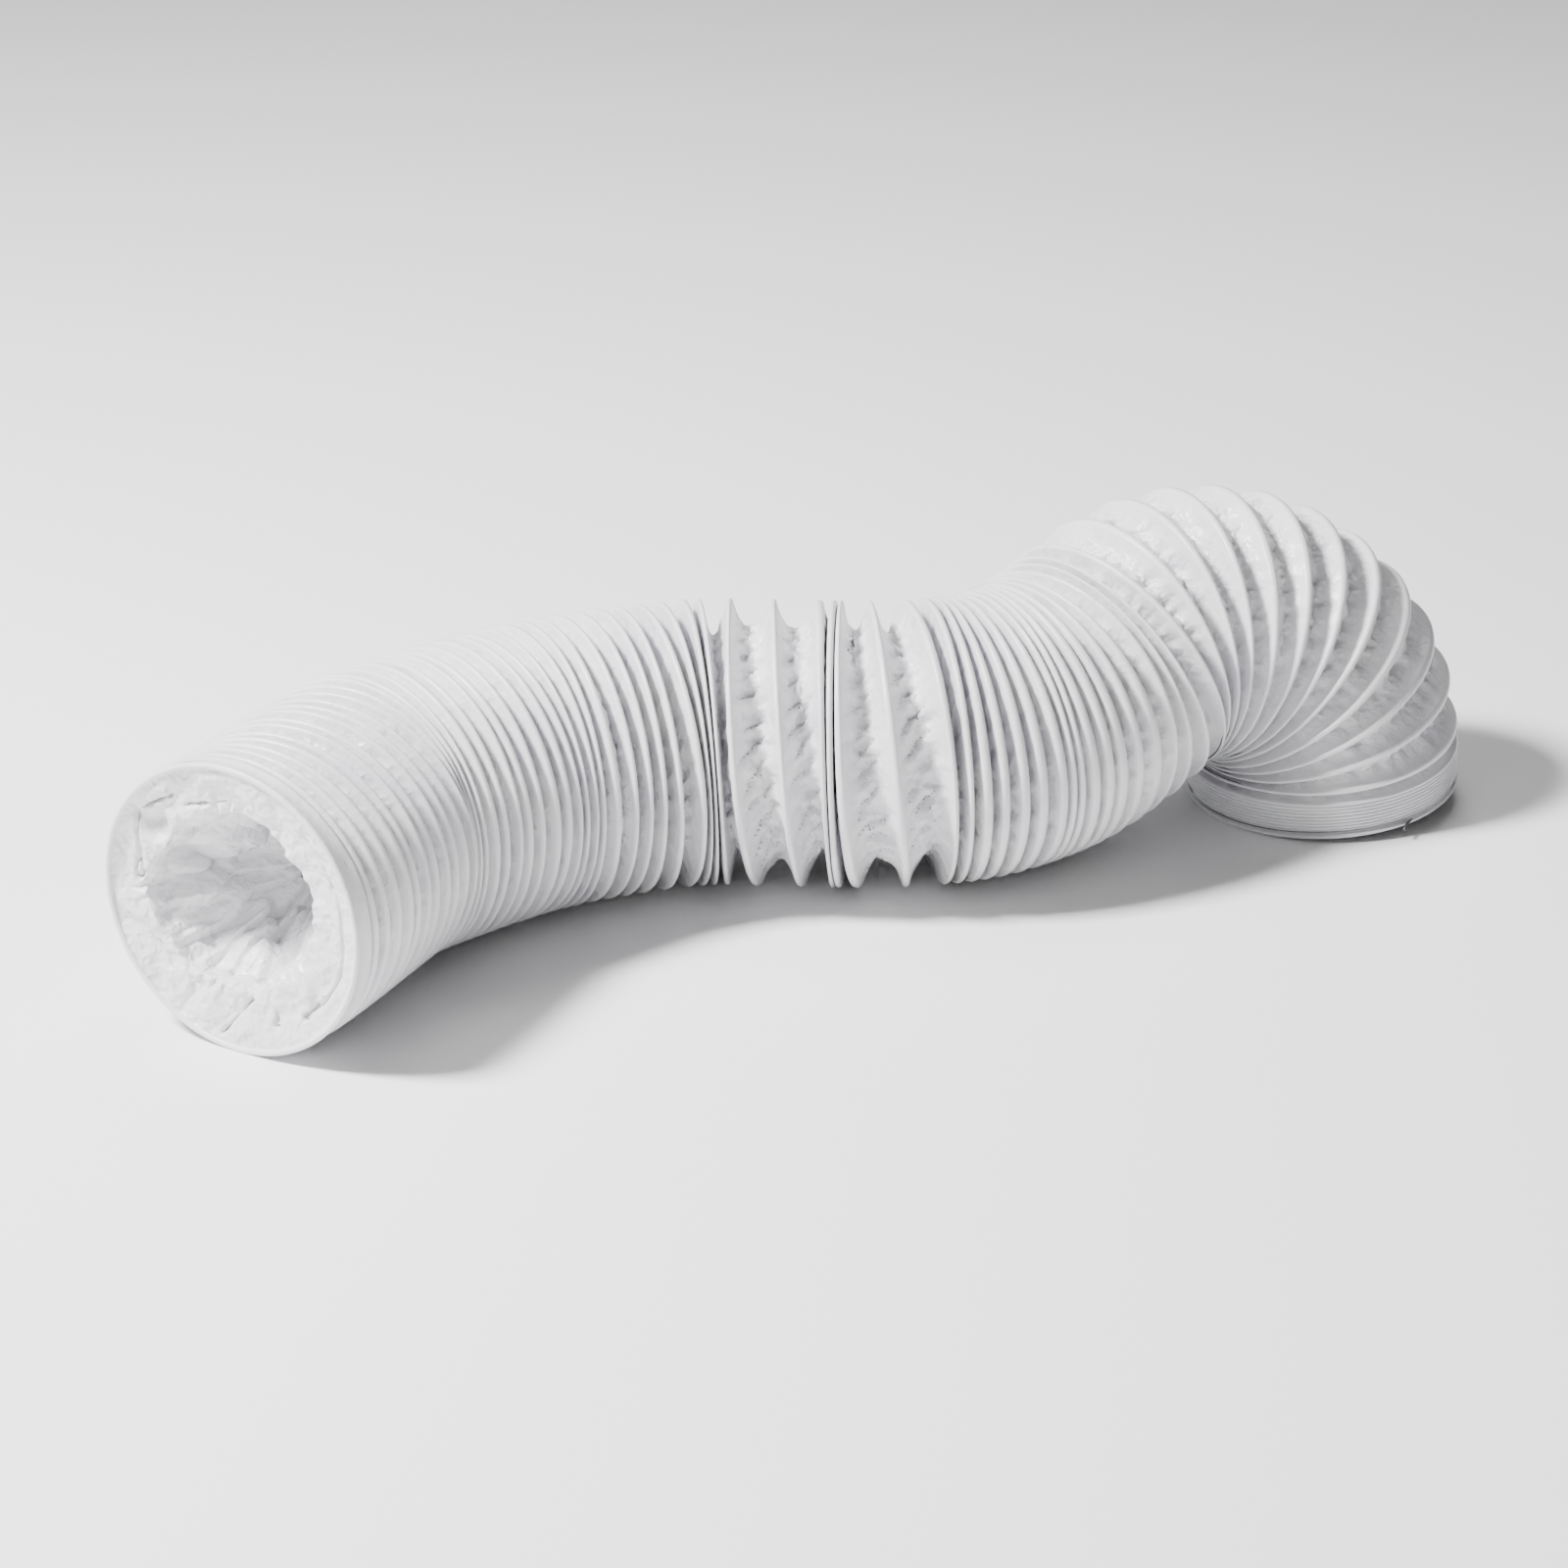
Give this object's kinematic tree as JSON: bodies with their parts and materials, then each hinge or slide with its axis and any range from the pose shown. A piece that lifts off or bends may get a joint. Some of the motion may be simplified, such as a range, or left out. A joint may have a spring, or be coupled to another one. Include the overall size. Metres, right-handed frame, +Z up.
{
  "type": "flexible air duct",
  "caption": "Pleated plastic film air duct on a helical spring wire, lying in an S with one end turned down onto the floor.",
  "frame": {"origin": "middle of the footprint of the duct's bounding box, on the surface it lies on", "axes": "+X from the front mouth's end towards the turned-down rear end, +Y away from the front mouth's open side, +Z up"},
  "size_m": [0.4877, 0.301, 0.1263],
  "materials": {
    "film": "satin",
    "cuff": "satin",
    "hem": "satin",
    "wire": "drawn"
  },
  "bodies": {
    "turns_01": {"film_01": "film", "wire_turns_01": "wire", "front_cuff": "cuff", "front_hem": "hem"},
    "turns_02": {"film_02": "film", "wire_turns_02": "wire"},
    "turns_03": {"film_03": "film", "wire_turns_03": "wire"},
    "turns_04": {"film_04": "film", "wire_turns_04": "wire"},
    "turns_05": {"film_05": "film", "wire_turns_05": "wire"},
    "turns_06": {"film_06": "film", "wire_turns_06": "wire"},
    "turns_07": {"film_07": "film", "wire_turns_07": "wire"},
    "turns_08": {"film_08": "film", "wire_turns_08": "wire"},
    "turns_09": {"film_09": "film", "wire_turns_09": "wire"},
    "turns_10": {"film_10": "film", "wire_turns_10": "wire"},
    "turns_11": {"film_11": "film", "wire_turns_11": "wire"},
    "turns_12": {"film_12": "film", "wire_turns_12": "wire"},
    "turns_13": {"film_13": "film", "wire_turns_13": "wire", "film_13_middle": "film", "film_13_rear": "film"},
    "turns_14": {"film_14": "film", "wire_turns_14": "wire", "rear_cuff": "cuff", "wire_cut_end": "wire"}
  },
  "joints": [
    {"name": "side_bend_01_02", "type": "hinge", "parent": "turns_02", "child": "turns_01", "pos_m": [-0.18339, -0.09503, 0.052], "axis": [0, 0, -1], "range_deg": [-6, 6]},
    {"name": "stretch_02_03", "type": "slide", "parent": "turns_03", "child": "turns_02", "axis": [-0.4226, -0.9063, 0], "range_m": [-0.005, 0.03]},
    {"name": "side_bend_03_04", "type": "hinge", "parent": "turns_04", "child": "turns_03", "pos_m": [-0.14921, -0.03695, 0.052], "axis": [0, 0, -1], "range_deg": [-6, 6]},
    {"name": "lift_bend_04_05", "type": "hinge", "parent": "turns_05", "child": "turns_04", "pos_m": [-0.12375, -0.01442, 0.052], "axis": [-0.6428, 0.766, 0], "range_deg": [0, 6]},
    {"name": "side_bend_05_06", "type": "hinge", "parent": "turns_06", "child": "turns_05", "pos_m": [-0.09533, 0.00403, 0.052], "axis": [0, 0, -1], "range_deg": [-6, 6]},
    {"name": "stretch_06_07", "type": "slide", "parent": "turns_07", "child": "turns_06", "axis": [-0.9511, -0.309, 0], "range_m": [-0.005, 0.03]},
    {"name": "side_bend_07_08", "type": "hinge", "parent": "turns_08", "child": "turns_07", "pos_m": [-0.0304, 0.02115, 0.052], "axis": [0, 0, -1], "range_deg": [-6, 6]},
    {"name": "stretch_08_09", "type": "slide", "parent": "turns_08", "child": "turns_09", "axis": [0.9986, -0.0523, 0], "range_m": [-0.005, 0.03]},
    {"name": "side_bend_09_10", "type": "hinge", "parent": "turns_09", "child": "turns_10", "pos_m": [0.03739, 0.02144, 0.052], "axis": [0, 0, -1], "range_deg": [-6, 6]},
    {"name": "side_bend_10_11", "type": "hinge", "parent": "turns_10", "child": "turns_11", "pos_m": [0.06458, 0.03081, 0.0535], "axis": [0.0984, 0.0339, -0.9946], "range_deg": [-6, 6]},
    {"name": "lift_bend_11_12", "type": "hinge", "parent": "turns_11", "child": "turns_12", "pos_m": [0.08742, 0.04784, 0.05785], "axis": [0.7031, -0.7085, 0.0609], "range_deg": [-6, 6]},
    {"name": "side_bend_12_13", "type": "hinge", "parent": "turns_12", "child": "turns_13", "pos_m": [0.10722, 0.06549, 0.06646], "axis": [-0.3417, -0.2387, 0.909], "range_deg": [-6, 6]},
    {"name": "stretch_13_14", "type": "slide", "parent": "turns_13", "child": "turns_14", "axis": [0.0766, 0.0557, -0.9955], "range_m": [0, 0.03]}
  ],
  "couplings": [
    {"joint": "side_bend_01_02", "follows": "side_bend_07_08", "ratio": 1},
    {"joint": "side_bend_03_04", "follows": "side_bend_07_08", "ratio": 1},
    {"joint": "side_bend_05_06", "follows": "side_bend_07_08", "ratio": 1},
    {"joint": "side_bend_10_11", "follows": "side_bend_09_10", "ratio": 1},
    {"joint": "side_bend_12_13", "follows": "side_bend_09_10", "ratio": 1},
    {"joint": "stretch_02_03", "follows": "stretch_08_09", "ratio": 1},
    {"joint": "stretch_06_07", "follows": "stretch_08_09", "ratio": 1}
  ]
}
